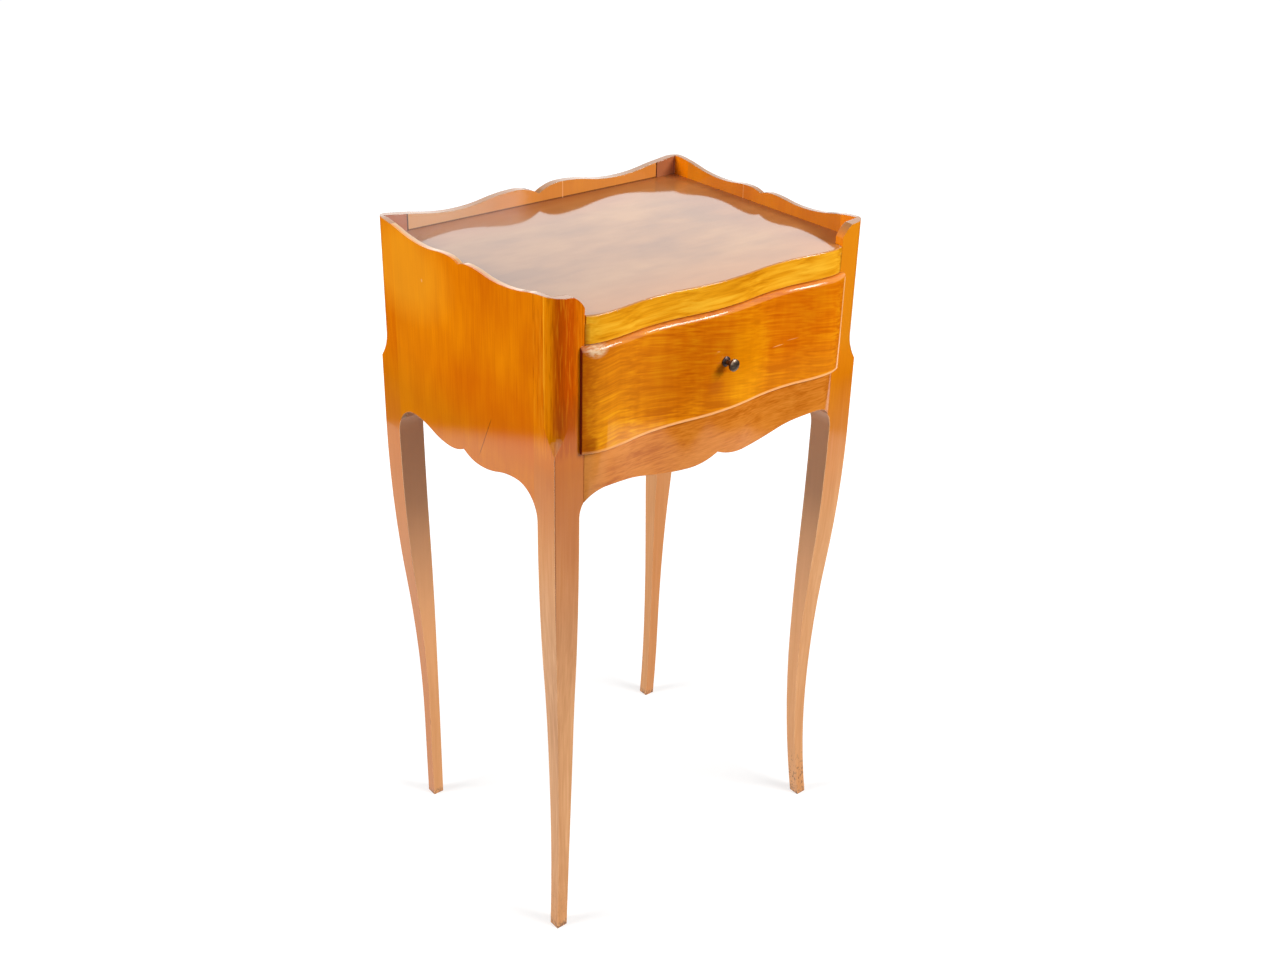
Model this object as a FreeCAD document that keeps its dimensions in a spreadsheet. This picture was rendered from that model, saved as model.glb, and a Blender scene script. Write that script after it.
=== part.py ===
import FreeCAD, Part
import math
import os
import re
import Sketcher
from FreeCAD import Vector

# Bedside table with a tray top, a scalloped gallery, one drawer and four curved legs.
# Millimetres. X runs to the right, the front faces -Y and Z is up. The origin lies on the floor,
# in the middle of the box that holds the whole table with its knob.

# Driving sizes. A name that ends in share is a part of the size that it follows.
SIZES = {
    # carcass
    "overall_width": 400,
    "overall_depth": 305,
    "overall_height": 743,
    "corner_rise": 3,
    "post_width": 34.5,
    "post_depth": 32,
    "corner_radius": 16,
    "rounding_stop_rise": 31.5,
    "runout_swing": 48,
    "side_thickness": 6,
    "back_thickness": 9,
    "front_arm_thickness": 10,
    "gallery_depth": 19,
    "tray_thickness": 8,
    "tray_nosing": 1.5,
    "tray_end_gap": 1.2,
    "rail_height": 19.5,
    "rail_depth": 25,
    "opening_height": 110,
    "apron_thickness": 16,
    # legs
    "knee_drop": 71.5,
    "knee_width": 29.5,
    "knee_depth": 27.5,
    "shank_bulge": 2.8,
    "bulge_height": 235,
    "ankle_height": 155,
    "ankle_inset": 14.4,
    "foot_inset": 7,
    "foot_width": 12.8,
    "back_ankle_height": 110,
    "back_ankle_inset": 21.4,
    "back_foot_inset": 23.4,
    "back_shank_width": 34.5,
    "rear_ankle_inset": 11.4,
    "rear_foot_inset": 8.3,
    "rear_shank_depth": 24.9,
    # scalloped lower edges, depths below the apron's top
    "front_arch_depth": 39.7,
    "side_arch_depth": 41.5,
    "front_sweep": 28,
    "side_sweep": 33,
    "front_lobe_depth": 53.7,
    "front_notch_depth": 45.1,
    "front_lobe_share": 0.224,
    "side_lobe_depth": 52.5,
    "side_notch_depth": 45.5,
    "side_lobe_share": 0.222,
    # scalloped gallery, drops below its level at the posts
    "shoulder_reach": 12.5,
    "shoulder_drop": 11.5,
    "side_dip_drop": 6.8,
    "side_dip_share": 0.523,
    "side_crest_drop": 3.3,
    "side_crest_share": 0.149,
    "side_cusp_drop": 7,
    "back_dip_drop": 8.3,
    "back_dip_share": 0.647,
    "back_crest_drop": 0.5,
    "back_crest_share": 0.181,
    "back_cusp_drop": 9,
    "back_gallery_end": 8,
    # bow of the front, swells beyond the posts
    "centre_swell": 6.2,
    "outer_swell": 4.9,
    "end_swell": 0.5,
    "hollow_share": 0.495,
    "outer_swell_share": 0.88,
    # joinery
    "tenon_length": 12,
    "tenon_shoulder": 4,
    "rail_tenon_setback": 8,
    "rail_tenon_thickness": 10,
    "side_tenon_thickness": 3.5,
    "back_tenon_thickness": 5,
    # drawer and what carries it
    "runner_reach": 14,
    "runner_thickness": 14,
    "guide_height": 18,
    "kicker_gap": 2,
    "cleat_size": 16,
    "drawer_gap": 1,
    "drawer_side_gap": 1.2,
    "drawer_rear_gap": 16,
    "drawer_wall": 10,
    "drawer_front_depth": 14,
    "drawer_proud": 5.2,
    "drawer_edge_round": 5.5,
    "drawer_low_round": 2,
    "lip_overlap": 5.4,
    "lip_gap": 0.3,
    "lip_end_proud": 3.6,
    "lip_ease": 0.9,
    "tail_length": 8,
    "tail_height": 22,
    "tail_flare": 3,
    "lower_tail_share": 0.36,
    "upper_tail_share": 0.74,
    "drawer_back_thickness": 9,
    "drawer_back_drop": 5,
    "bottom_rise": 8,
    "bottom_thickness": 5,
    "groove_depth": 5,
    # knob
    "knob_height_share": 0.505,
    "knob_length": 14.6,
    "knob_radius": 6.2,
    "knob_neck_radius": 2.8,
    "knob_dome": 1.8,
    "knob_rim": 2.2,
    "knob_head_depth": 7.5,
    "rose_radius": 5.2,
    "rose_rim": 0.8,
    "rose_thickness": 2,
    "stud_radius": 2,
    "stud_clearance": 0.2,
    "stud_tail": 2.5,
    "nut_width": 9,
    "nut_thickness": 4,
    # fasteners
    "screw_radius": 1.8,
    "screw_head_radius": 3.6,
    "screw_head_depth": 2.4,
    "screw_bite": 5,
    "screw_place_share": 0.6,
    "nail_radius": 0.9,
    "nail_head_radius": 2,
    "nail_head_depth": 1,
    "nail_length": 22,
    "nail_place_share": 0.7,
    # extra reach of every cut, past the wood that it removes
    "overrun": 2,
}

# Places worked out from the sizes.
PLACES = {
    "half_width": "overall_width / 2",
    "half_depth": "overall_depth / 2",
    "middle": "(centre_swell + drawer_proud + knob_length) / 2",
    "front": "middle - half_depth",
    "back": "middle + half_depth",
    "opening_half": "half_width - post_width",
    "bay_half": "half_depth - post_depth",
    "inside_half": "half_width - side_thickness",
    "gallery_level": "overall_height - corner_rise",
    "tray_top": "gallery_level - gallery_depth",
    "tray_under": "tray_top - tray_thickness",
    "rail_under": "tray_under - rail_height",
    "apron_top": "rail_under - opening_height",
    "front_arch_top": "apron_top - front_arch_depth",
    "side_arch_top": "apron_top - side_arch_depth",
    "knee": "apron_top - knee_drop",
    "rounding_stop": "apron_top + rounding_stop_rise",
    "front_sweep_meets": "front_arch_top - front_sweep + sqrt(front_sweep ^ 2"
                         " - (front_sweep - post_width + knee_width) ^ 2)",
    "side_sweep_meets": "side_arch_top - side_sweep + sqrt(side_sweep ^ 2"
                        " - (side_sweep - post_depth + knee_depth) ^ 2)",
    "front_arch_place": "half_width - knee_width - front_sweep",
    "side_arch_place": "half_depth - knee_depth - side_sweep",
    "back_gallery_place": "half_width - back_gallery_end",
    "back_dip_place": "opening_half * back_dip_share",
    "back_gallery_radius": "((back_gallery_place - back_dip_place) ^ 2 + back_dip_drop ^ 2)"
                           " / (4 * back_dip_drop)",
    "back_gallery_meets": "gallery_level - back_gallery_radius + sqrt(back_gallery_radius ^ 2"
                          " - (back_gallery_place - opening_half) ^ 2)",
    "side_dip_place": "bay_half * side_dip_share",
    "side_gallery_drop": "corner_rise + side_dip_drop",
    "side_gallery_radius": "((half_depth - side_dip_place) ^ 2 + side_gallery_drop ^ 2)"
                           " / (4 * side_gallery_drop)",
    "side_gallery_meets": "overall_height - side_gallery_radius + sqrt(side_gallery_radius ^ 2"
                          " - post_depth ^ 2)",
    "shoulder_top": "gallery_level + corner_rise * shoulder_reach / post_width",
    "tenon_low": "front_arch_top + tenon_shoulder",
    "tenon_high": "tray_under - tenon_shoulder",
    "lip_half": "opening_half + lip_overlap",
    "drawer_half": "opening_half - drawer_side_gap",
    "drawer_inside": "drawer_half - drawer_wall",
    "drawer_rear": "back - back_thickness - drawer_rear_gap",
    "drawer_shoulder": "front + drawer_front_depth",
    "drawer_low": "apron_top + drawer_gap",
    "drawer_high": "rail_under - drawer_gap",
    "drawer_side_top": "rail_under - kicker_gap",
    "bottom_under": "apron_top + bottom_rise",
    "bottom_top": "bottom_under + bottom_thickness",
    "face": "front - centre_swell - drawer_proud",
    "knob_height": "apron_top + opening_height * knob_height_share",
    "cleat_line": "inside_half - cleat_size / 2",
}

WORD = re.compile(r"[a-z][a-z_]*")

doc = FreeCAD.newDocument("bedside_table")
sheet = doc.addObject("Spreadsheet::Sheet", "Sizes")
for row, (size_name, size) in enumerate(SIZES.items(), start=1):
    sheet.set(f"A{row}", size_name)
    sheet.set(f"B{row}", str(size))
    sheet.setAlias(f"B{row}", size_name)
doc.recompute()

sub_parts = []


def formula(text):
    """The expression with every size read from the sheet and every place written out."""
    def spell(match):
        word = match.group(0)
        if word in PLACES:
            return "(" + formula(PLACES[word]) + ")"
        if word in SIZES:
            return "Sizes." + word
        return word
    return WORD.sub(spell, text)


def value(text):
    """The number that an expression gives with the sizes as they are."""
    return float(sheet.evalExpression(formula(text)))


def bind(thing, **properties):
    """Bind properties to expressions; a double underscore stands for a dot."""
    for name, text in properties.items():
        thing.setExpression(name.replace("__", "."), formula(text))


def finished(thing, name):
    """Keep a finished sub-part under the name that its file gets."""
    thing.Label = name
    sub_parts.append(thing)
    return thing


def halved(first, second):
    return f"(({first}) + ({second})) / 2"


def with_ogees(points):
    """Write each ogee as two equal arcs that meet halfway between its ends."""
    plain = []
    for index, (u, v, run) in enumerate(points):
        next_u, next_v, _ = points[(index + 1) % len(points)]
        middle_point = (halved(u, next_u), halved(v, next_v))
        if run == "flat_ogee":
            plain.append((u, v, ("over", u)))
            plain.append((*middle_point, ("over", next_u)))
        elif run == "upright_ogee":
            plain.append((u, v, ("beside", v)))
            plain.append((*middle_point, ("beside", next_v)))
        else:
            plain.append((u, v, run))
    return plain


def arc_centre(start, end, run):
    """Centre of the arc from start to end, over a given place or beside a given height."""
    kind, place = run
    across = end - start
    spread = end.dot(end) - start.dot(start)
    if kind == "over":
        over = value(place)
        return Vector(over, (spread / 2 - over * across.x) / across.y, 0)
    beside = value(place)
    return Vector((spread / 2 - beside * across.y) / across.x, beside, 0)


def add_run(sketch, start, end, run):
    """Add one line or arc and tell which of its ends is the start and which is the end."""
    if run == "line":
        return sketch.addGeometry(Part.LineSegment(start, end), False), 1, 2
    centre = arc_centre(start, end, run)
    to_start = start - centre
    to_end = end - centre
    first = math.atan2(to_start.y, to_start.x)
    turn = math.atan2(to_start.cross(to_end).z, to_start.dot(to_end))
    circle = Part.Circle(centre, Vector(0, 0, 1), to_start.Length)
    if turn > 0:
        return sketch.addGeometry(Part.ArcOfCircle(circle, first, first + turn), False), 1, 2
    return sketch.addGeometry(Part.ArcOfCircle(circle, first + turn, first), False), 2, 1


def hold(sketch, kind, geometry, end, text):
    """Hold one coordinate of a point at an expression."""
    number = value(text)
    index = sketch.addConstraint(Sketcher.Constraint(kind, -1, 1, geometry, end, number))
    sketch.setExpression(f"Constraints[{index}]", formula(text))


def draw(sketch, points):
    """Draw a closed outline. Each point holds its two coordinates and how the line leaves it:
    "line", an arc centred ("over", place) or ("beside", height), or an ogee of two arcs."""
    plain = with_ogees(points)
    corners = [Vector(value(u), value(v), 0) for u, v, _ in plain]
    runs = []
    for index, (_, _, run) in enumerate(plain):
        runs.append(add_run(sketch, corners[index], corners[(index + 1) % len(plain)], run))
    for index, (u, v, run) in enumerate(plain):
        geometry, first, last = runs[index]
        next_geometry, next_first, _ = runs[(index + 1) % len(plain)]
        sketch.addConstraint(Sketcher.Constraint("Coincident", geometry, last, next_geometry, next_first))
        hold(sketch, "DistanceX", geometry, first, u)
        hold(sketch, "DistanceY", geometry, first, v)
        if run != "line":
            kind, place = run
            hold(sketch, "DistanceX" if kind == "over" else "DistanceY", geometry, 3, place)


def rectangle(u_low, u_high, v_low, v_high):
    return [(u_low, v_low, "line"), (u_high, v_low, "line"),
            (u_high, v_high, "line"), (u_low, v_high, "line")]


def new_body(name):
    body = doc.addObject("PartDesign::Body", name)
    return finished(body, name)


def new_sketch(body, role, lift, *outlines):
    """A sketch on one of the body's own planes, lifted along the plane's normal."""
    plane = next(item for item in body.Origin.OriginFeatures if item.Role == role)
    sketch = body.newObject("Sketcher::SketchObject", f"{body.Name}_outline")
    sketch.AttachmentSupport = [(plane, "")]
    sketch.MapMode = "FlatFace"
    bind(sketch, AttachmentOffset__Base__z=lift)
    for points in outlines:
        draw(sketch, points)
    return sketch


def pad(body, sketch, length, back_wards=False):
    feature = body.newObject("PartDesign::Pad", f"{body.Name}_pad")
    feature.Profile = sketch
    feature.Reversed = back_wards
    bind(feature, Length=length)
    sketch.Visibility = False
    return feature


def pocket(body, sketch, length, along_normal=True):
    """Cut an outline into the body, along the sketch's normal or against it."""
    doc.recompute()
    volume = body.Shape.Volume
    feature = body.newObject("PartDesign::Pocket", f"{body.Name}_pocket")
    feature.Profile = sketch
    feature.Reversed = along_normal
    bind(feature, Length=length)
    doc.recompute()
    if not body.Shape.Volume < volume:
        raise RuntimeError(f"{feature.Name} cuts nothing")
    return feature


def fillet(body, base, edges, radius):
    feature = body.newObject("PartDesign::Fillet", f"{body.Name}_fillet")
    feature.Base = (base, edges)
    bind(feature, Radius=radius)
    return feature


def block(name, x_low, x_high, y_low, y_high, z_low, z_high):
    """A plain board between two corners."""
    box = doc.addObject("Part::Box", name)
    bind(box, Length=f"({x_high}) - ({x_low})", Width=f"({y_high}) - ({y_low})",
         Height=f"({z_high}) - ({z_low})", Placement__Base__x=x_low,
         Placement__Base__y=y_low, Placement__Base__z=z_low)
    return box


def joined(name, shapes):
    fuse = doc.addObject("Part::MultiFuse", name)
    fuse.Shapes = shapes
    return fuse


def cut(name, base, tool):
    feature = doc.addObject("Part::Cut", name)
    feature.Base = base
    feature.Tool = tool
    return feature


def prism(name, plane, lift, points, length):
    """Extrude an outline by length from a plane: XY along +Z, XZ along +Y or YZ along +X."""
    sketch = doc.addObject("Sketcher::SketchObject", f"{name}_outline")
    turns = {"XY": (Vector(0, 0, 1), 0), "XZ": (Vector(1, 0, 0), 90), "YZ": (Vector(1, 1, 1), 120)}
    lifts = {"XY": "z", "XZ": "y", "YZ": "x"}
    ways = {"XY": Vector(0, 0, 1), "XZ": Vector(0, 1, 0), "YZ": Vector(1, 0, 0)}
    sketch.Placement = FreeCAD.Placement(Vector(), FreeCAD.Rotation(*turns[plane]))
    sketch.setExpression(f"Placement.Base.{lifts[plane]}", formula(lift))
    draw(sketch, points)
    extrusion = doc.addObject("Part::Extrusion", name)
    extrusion.Base = sketch
    extrusion.DirMode = "Custom"
    extrusion.Dir = ways[plane]
    extrusion.Solid = True
    bind(extrusion, LengthFwd=length)
    return extrusion


def leg_profile(outer, sign, post, knee_size, crown, sweep_low, sweep_meets, ankle, foot, shank):
    """Sawn profile of a leg, seen square to one of its faces, from the outer face inwards.

    crown is the height of the top at its inner end and the run from there to the raised corner,
    ankle is the inset and the height of the ankle, foot the foot's inset and shank the reach of the
    inner edge at its fullest."""
    def across(text):
        return f"{outer} - {sign} * ({text})"
    return [
        (across("0"), "overall_height", "line"),
        (across("0"), "knee", "upright_ogee"),
        (across(ankle[0]), ankle[1], ("beside", ankle[1])),
        (across(foot), "0", "line"),
        (across(f"{foot} + foot_width"), "0", ("beside", "bulge_height")),
        (across(shank), "bulge_height", "upright_ogee"),
        (across(knee_size), sweep_low, ("beside", sweep_low)),
        (across(post), sweep_meets, "line"),
        (across(post), *crown),
    ]


def corner_waste(name, x_sign, y_edge, y_sign):
    """Wood removed to round the post's outer corner, with the run-out that ends the rounding."""
    def at(u, v):
        return f"{x_sign} * (half_width - ({u}))", f"{y_edge} - {y_sign} * ({v})"
    points = [
        (*at("-overrun", "-overrun"), "line"),
        (*at("corner_radius", "-overrun"), "line"),
        (*at("corner_radius", "0"), ("over", at("corner_radius", "0")[0])),
        (*at("0", "corner_radius"), "line"),
        (*at("-overrun", "corner_radius"), "line"),
    ]
    upper = prism(f"{name}_rounding", "XY", "rounding_stop", points,
                  "overall_height - rounding_stop + overrun")
    runout = doc.addObject("Part::Revolution", f"{name}_runout")
    runout.Source = upper.Base
    runout.Solid = True
    runout.Axis = Vector(y_sign, -x_sign, 0)
    swing_x, swing_y = at("-runout_swing / sqrt(2)", "-runout_swing / sqrt(2)")
    bind(runout, Base__x=swing_x, Base__y=swing_y, Base__z="rounding_stop")
    runout.Angle = 60
    return [upper, runout]


def span(first, second, sign):
    """Two places in rising order, the first of them nearer the middle where sign is 1."""
    return (first, second) if sign > 0 else (second, first)


def front_arm_waste(name, x_sign):
    start = f"{x_sign} * (opening_half + shoulder_reach)"
    end = f"{x_sign} * opening_half"
    beyond = f"{x_sign} * (opening_half - overrun)"
    points = [
        (start, "shoulder_top", ("over", f"{x_sign} * (opening_half + 2 * shoulder_reach)")),
        (end, "gallery_level - shoulder_drop", "line"),
        (beyond, "gallery_level - shoulder_drop", "line"),
        (beyond, "overall_height + overrun", "line"),
        (start, "overall_height + overrun", "line"),
    ]
    return prism(name, "XZ", "front - overrun", points, "front_arm_thickness + 2 * overrun")


def make_leg(name, x_sign, y_sign):
    """One post and its leg: two sawn profiles crossed, then rounded, stepped and mortised."""
    y_edge = "back" if y_sign > 0 else "front"
    arm = "back_thickness" if y_sign > 0 else "front_arm_thickness"
    outer_x = f"{x_sign} * half_width"
    low_x = f"{outer_x} - overrun" if x_sign < 0 else f"{outer_x} - post_width - foot_width"
    low_y = f"{y_edge} - overrun" if y_sign < 0 else f"{y_edge} - post_depth - foot_width"
    front_shape = (("ankle_inset", "ankle_height"), "foot_inset", "knee_width + shank_bulge")
    side_shape = (("ankle_inset", "ankle_height"), "foot_inset", "knee_depth + shank_bulge")
    if y_sign > 0:
        front_shape = (("back_ankle_inset", "back_ankle_height"), "back_foot_inset", "back_shank_width")
        side_shape = (("rear_ankle_inset", "back_ankle_height"), "rear_foot_inset", "rear_shank_depth")
    front_crown = ("back_gallery_meets" if y_sign > 0 else "gallery_level", "line")
    front_view = leg_profile(outer_x, x_sign, "post_width", "knee_width", front_crown,
                             "front_arch_top - front_sweep", "front_sweep_meets", *front_shape)
    side_crown = ("side_gallery_meets", ("over", y_edge))
    side_view = leg_profile(y_edge, y_sign, "post_depth", "knee_depth", side_crown,
                            "side_arch_top - side_sweep", "side_sweep_meets", *side_shape)
    faced = prism(f"{name}_faced", "XZ", low_y, front_view, "post_depth + foot_width + overrun")
    sided = prism(f"{name}_sided", "YZ", low_x, side_view, "post_width + foot_width + overrun")
    sawn = doc.addObject("Part::Common", f"{name}_sawn")
    sawn.Base = faced
    sawn.Tool = sided
    inner_x = span(f"{x_sign} * (opening_half - overrun)", f"{x_sign} * inside_half", x_sign)
    inner_y = span(f"{y_edge} - {y_sign} * (post_depth + overrun)", f"{y_edge} - {y_sign} * {arm}", y_sign)
    step = block(f"{name}_step", *inner_x, *inner_y, "tray_under", "overall_height + overrun")
    waste = corner_waste(name, x_sign, y_edge, y_sign) + [step]
    side = "left" if x_sign < 0 else "right"
    waste.append(side_tenon(side, f"{name}_side_mortise", y_sign))
    if y_sign > 0:
        waste.append(back_tenon(f"{name}_back_mortise", x_sign))
    else:
        waste.append(front_arm_waste(f"{name}_shoulder", x_sign))
        waste.append(rail_tenon(f"{name}_rail_mortise", x_sign))
        waste.append(apron_tenon(f"{name}_apron_mortise", x_sign))
    return finished(cut(name, sawn, joined(f"{name}_waste", waste)), name)


def side_tenon(side, name, y_sign):
    """Bare-faced tenon at one end of a side, flush with the side's inner face."""
    x_sign = -1 if side == "left" else 1
    across = span(f"{x_sign} * inside_half", f"{x_sign} * (inside_half + side_tenon_thickness)", x_sign)
    along = span(f"middle + {y_sign} * bay_half", f"middle + {y_sign} * (bay_half + tenon_length)", y_sign)
    return block(name, *across, *along, "tenon_low", "tenon_high")


def back_tenon(name, x_sign):
    along = span(f"{x_sign} * opening_half", f"{x_sign} * (opening_half + tenon_length)", x_sign)
    return block(name, *along, "back - back_thickness", "back - back_thickness + back_tenon_thickness",
                 "tenon_low", "tenon_high")


def rail_tenon(name, x_sign):
    along = span(f"{x_sign} * opening_half", f"{x_sign} * (opening_half + tenon_length)", x_sign)
    return block(name, *along, "front + rail_tenon_setback",
                 "front + rail_tenon_setback + rail_tenon_thickness",
                 "rail_under + tenon_shoulder", "tray_under - tenon_shoulder")


def apron_tenon(name, x_sign):
    along = span(f"{x_sign} * opening_half", f"{x_sign} * (opening_half + tenon_length)", x_sign)
    return block(name, *along, "front + tenon_shoulder", "front + apron_thickness - tenon_shoulder",
                 "tenon_low", "apron_top - tenon_shoulder")


def placed(run, centre, way):
    """A run of half an edge, with its arc's place measured from the edge's centre."""
    if run[0] == "over":
        return ("over", f"{centre} {way} ({run[1]})")
    return run


def edge(centre, half):
    """A symmetric edge from its negative end to its positive end, as points for draw.

    Each entry of half is an offset from the centre, a height and the run that leads towards the
    centre; the last entry is the centre itself. The other half mirrors it."""
    points = [(f"{centre} - ({u})", v, placed(run, centre, "-")) for u, v, run in half[:-1]]
    for index in range(len(half) - 1, -1, -1):
        u, v, _ = half[index]
        run = placed(half[index - 1][2], centre, "+") if index > 0 else "line"
        points.append((f"{centre} + ({u})", v, run))
    return points


def back_to_front(points):
    """The same edge walked from its other end."""
    walked = []
    for index in range(len(points) - 1, -1, -1):
        u, v, _ = points[index]
        run = points[index - 1][2] if index > 0 else "line"
        walked.append((u, v, run))
    return walked


def apron_edge(centre, joint, meets, arch_place, arch_top, lobe_place, lobe_depth, notch_depth):
    """Lower edge: a sweep out of each leg, a long ogee down to a lobe and a cusp in the middle."""
    return edge(centre, [
        (joint, meets, ("over", arch_place)),
        (arch_place, arch_top, "flat_ogee"),
        (lobe_place, f"apron_top - {lobe_depth}", ("over", lobe_place)),
        ("0", f"apron_top - {notch_depth}", "line"),
    ])


FRONT_LOWER_EDGE = apron_edge("0", "opening_half", "front_sweep_meets", "front_arch_place",
                              "front_arch_top", "opening_half * front_lobe_share",
                              "front_lobe_depth", "front_notch_depth")
SIDE_LOWER_EDGE = apron_edge("middle", "bay_half", "side_sweep_meets", "side_arch_place",
                             "side_arch_top", "bay_half * side_lobe_share",
                             "side_lobe_depth", "side_notch_depth")
SIDE_GALLERY_EDGE = edge("middle", [
    ("bay_half", "side_gallery_meets", ("over", "half_depth")),
    (halved("half_depth", "side_dip_place"), "overall_height - side_gallery_drop / 2",
     ("over", "side_dip_place")),
    ("side_dip_place", "gallery_level - side_dip_drop", "flat_ogee"),
    ("bay_half * side_crest_share", "gallery_level - side_crest_drop",
     ("over", "bay_half * side_crest_share")),
    ("0", "gallery_level - side_cusp_drop", "line"),
])
BACK_GALLERY_EDGE = edge("0", [
    ("opening_half", "back_gallery_meets", ("over", "back_gallery_place")),
    (halved("back_gallery_place", "back_dip_place"), "gallery_level - back_dip_drop / 2",
     ("over", "back_dip_place")),
    ("back_dip_place", "gallery_level - back_dip_drop", "flat_ogee"),
    ("opening_half * back_crest_share", "gallery_level - back_crest_drop",
     ("over", "opening_half * back_crest_share")),
    ("0", "gallery_level - back_cusp_drop", "line"),
])


def bow(end, end_place, proud):
    """Bowed front in plan: a swell in the middle, a hollow each side and a swell by each post."""
    return edge("0", [
        (end, end_place, ("over", "opening_half * outer_swell_share")),
        ("opening_half * outer_swell_share", f"front - outer_swell - {proud}", "flat_ogee"),
        ("opening_half * hollow_share", f"front - {proud}", "flat_ogee"),
        ("0", f"front - centre_swell - {proud}", "line"),
    ])


FRONT_BOW = bow("opening_half", "front - end_swell", "0")


def make_side(side):
    """One side: a single board with the gallery's edge above and the apron's edge below."""
    x_sign = -1 if side == "left" else 1
    outer = "-half_width" if x_sign < 0 else "inside_half"
    body = new_body(f"side_panel_{side}")
    outline = new_sketch(body, "YZ_Plane", outer, SIDE_GALLERY_EDGE + back_to_front(SIDE_LOWER_EDGE))
    pad(body, outline, "side_thickness")
    tongue = "-inside_half - side_tenon_thickness" if x_sign < 0 else "inside_half"
    tenons = new_sketch(body, "YZ_Plane", tongue,
                        rectangle("middle - bay_half - tenon_length", "middle + bay_half + tenon_length",
                                  "tenon_low", "tenon_high"))
    pad(body, tenons, "side_tenon_thickness")


def make_back():
    body = new_body("back_panel")
    outline = new_sketch(body, "XZ_Plane", "-back", BACK_GALLERY_EDGE + back_to_front(FRONT_LOWER_EDGE))
    pad(body, outline, "back_thickness")
    tenons = new_sketch(body, "XZ_Plane", "back_thickness - back - back_tenon_thickness",
                        rectangle("-opening_half - tenon_length", "opening_half + tenon_length",
                                  "tenon_low", "tenon_high"))
    pad(body, tenons, "back_tenon_thickness")


def make_rail():
    """Rail under the tray's front edge."""
    body = new_body("front_rail")
    rear = [("opening_half", "front + rail_depth", "line"), ("-opening_half", "front + rail_depth", "line")]
    pad(body, new_sketch(body, "XY_Plane", "rail_under", FRONT_BOW + rear), "rail_height")
    tenons = rectangle("-opening_half - tenon_length", "opening_half + tenon_length",
                       "front + rail_tenon_setback", "front + rail_tenon_setback + rail_tenon_thickness")
    pad(body, new_sketch(body, "XY_Plane", "rail_under + tenon_shoulder", tenons),
        "rail_height - 2 * tenon_shoulder")


def make_apron():
    """Apron under the drawer, bowed in plan and scalloped along its lower edge."""
    body = new_body("front_apron")
    rear = [("opening_half", "front + apron_thickness", "line"),
            ("-opening_half", "front + apron_thickness", "line")]
    low = "apron_top - front_lobe_depth - overrun"
    pad(body, new_sketch(body, "XY_Plane", low, FRONT_BOW + rear), "front_lobe_depth + overrun")
    below = [("opening_half", "front_sweep_meets", "line"),
             ("opening_half + overrun", "front_sweep_meets", "line"),
             ("opening_half + overrun", f"{low} - overrun", "line"),
             ("-opening_half - overrun", f"{low} - overrun", "line"),
             ("-opening_half - overrun", "front_sweep_meets", "line")]
    waste = new_sketch(body, "XZ_Plane", "centre_swell + overrun - front", FRONT_LOWER_EDGE[:-1] + below)
    pocket(body, waste, "centre_swell + apron_thickness + 2 * overrun", along_normal=False)
    tenons = rectangle("-opening_half - tenon_length", "opening_half + tenon_length",
                       "front + tenon_shoulder", "front + apron_thickness - tenon_shoulder")
    pad(body, new_sketch(body, "XY_Plane", "tenon_low", tenons), "apron_top - tenon_shoulder - tenon_low")


def top_front_edges(shape, height, behind):
    """Names of the edges that lie flat at a height and in front of a place."""
    names = []
    for index, item in enumerate(shape.Edges, start=1):
        box = item.BoundBox
        level = abs(box.ZMin - height) < 1e-4 and abs(box.ZMax - height) < 1e-4
        if level and box.YMax < behind:
            names.append(f"Edge{index}")
    return names


def end_edges(shape, end, behind):
    """Names of the upright edges at both ends that lie in front of a place."""
    names = []
    for index, item in enumerate(shape.Edges, start=1):
        box = item.BoundBox
        at_end = abs(abs(box.XMin) - end) < 1e-4 and abs(abs(box.XMax) - end) < 1e-4
        if at_end and abs(box.XMin - box.XMax) < 1e-4 and box.ZLength > 1e-4 and box.YMin < behind:
            names.append(f"Edge{index}")
    return names


def make_tray():
    """Tray board: it lies on the posts' steps, the rail and the cleats, inside the gallery."""
    body = new_body("tray_top")
    step = "front + front_arm_thickness"
    end = "opening_half - tray_end_gap"
    rear = [(end, step, "line"), ("inside_half", step, "line"),
            ("inside_half", "back - back_thickness", "line"),
            ("-inside_half", "back - back_thickness", "line"),
            ("-inside_half", step, "line"), (f"-({end})", step, "line")]
    outline = bow(end, "front - end_swell", "0") + rear
    board = pad(body, new_sketch(body, "XY_Plane", "tray_under", outline), "tray_thickness")
    doc.recompute()
    nosing = top_front_edges(board.Shape, value("tray_top"), value("front + tray_nosing"))
    fillet(body, board, nosing, "tray_nosing")


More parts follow.
